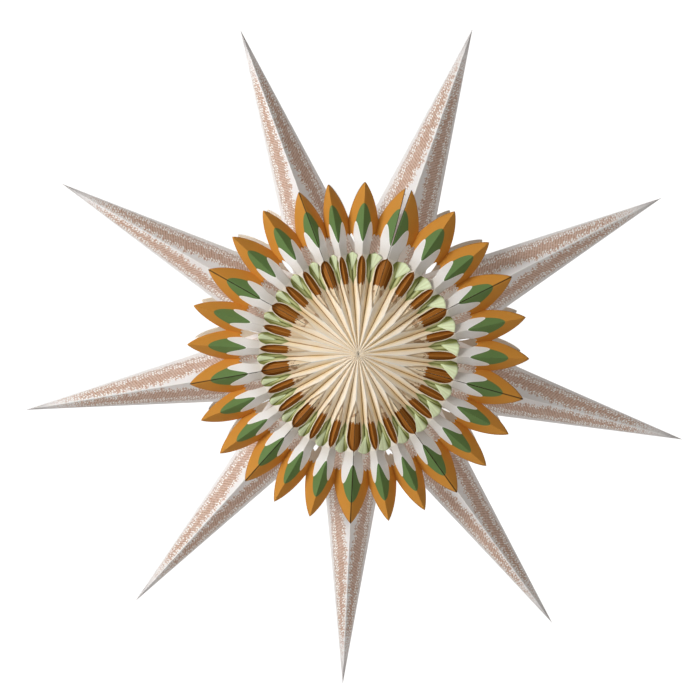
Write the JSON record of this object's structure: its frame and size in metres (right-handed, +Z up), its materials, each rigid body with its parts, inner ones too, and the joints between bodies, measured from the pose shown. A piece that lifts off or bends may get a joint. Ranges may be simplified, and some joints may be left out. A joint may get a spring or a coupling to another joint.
{
  "type": "folded paper star",
  "caption": "Hanging folded paper star with long hollow four-sided spikes around a pleated, cut-out petal rosette on each face",
  "frame": {"origin": "The star's centre of mass, half way between the points where the folds of the front and the back meet, to within 3 mm", "axes": "+Z up as the star hangs, -Y the way its front looks, +X to the right seen from the front; Y is the star's depth, its shortest extent"},
  "size_m": [0.6814, 0.1836, 0.6792],
  "materials": {
    "petal_card": "matte",
    "liner_card": "matte",
    "spike_card": "matte"
  },
  "bodies": {
    "root": {"liner_sheet_back_1": "liner_card", "liner_sheet_back_2": "liner_card", "liner_sheet_back_3": "liner_card", "liner_sheet_back_4": "liner_card", "liner_sheet_back_5": "liner_card", "liner_sheet_back_6": "liner_card", "liner_sheet_back_7": "liner_card", "liner_sheet_back_8": "liner_card", "liner_sheet_back_9": "liner_card", "liner_sheet_front_1": "liner_card", "liner_sheet_front_2": "liner_card", "liner_sheet_front_3": "liner_card", "liner_sheet_front_4": "liner_card", "liner_sheet_front_5": "liner_card", "liner_sheet_front_6": "liner_card", "liner_sheet_front_7": "liner_card", "liner_sheet_front_8": "liner_card", "liner_sheet_front_9": "liner_card", "petal_sheet_back_1": "petal_card", "petal_sheet_back_2": "petal_card", "petal_sheet_back_3": "petal_card", "petal_sheet_back_4": "petal_card", "petal_sheet_back_5": "petal_card", "petal_sheet_back_6": "petal_card", "petal_sheet_back_7": "petal_card", "petal_sheet_back_8": "petal_card", "petal_sheet_back_9": "petal_card", "petal_sheet_front_1": "petal_card", "petal_sheet_front_2": "petal_card", "petal_sheet_front_3": "petal_card", "petal_sheet_front_4": "petal_card", "petal_sheet_front_5": "petal_card", "petal_sheet_front_6": "petal_card", "petal_sheet_front_7": "petal_card", "petal_sheet_front_8": "petal_card", "petal_sheet_front_9": "petal_card", "spike_1": "spike_card", "spike_2": "spike_card", "spike_3": "spike_card", "spike_4": "spike_card", "spike_5": "spike_card", "spike_6": "spike_card", "spike_7": "spike_card", "spike_8": "spike_card", "spike_9": "spike_card"}
  },
  "joints": []
}
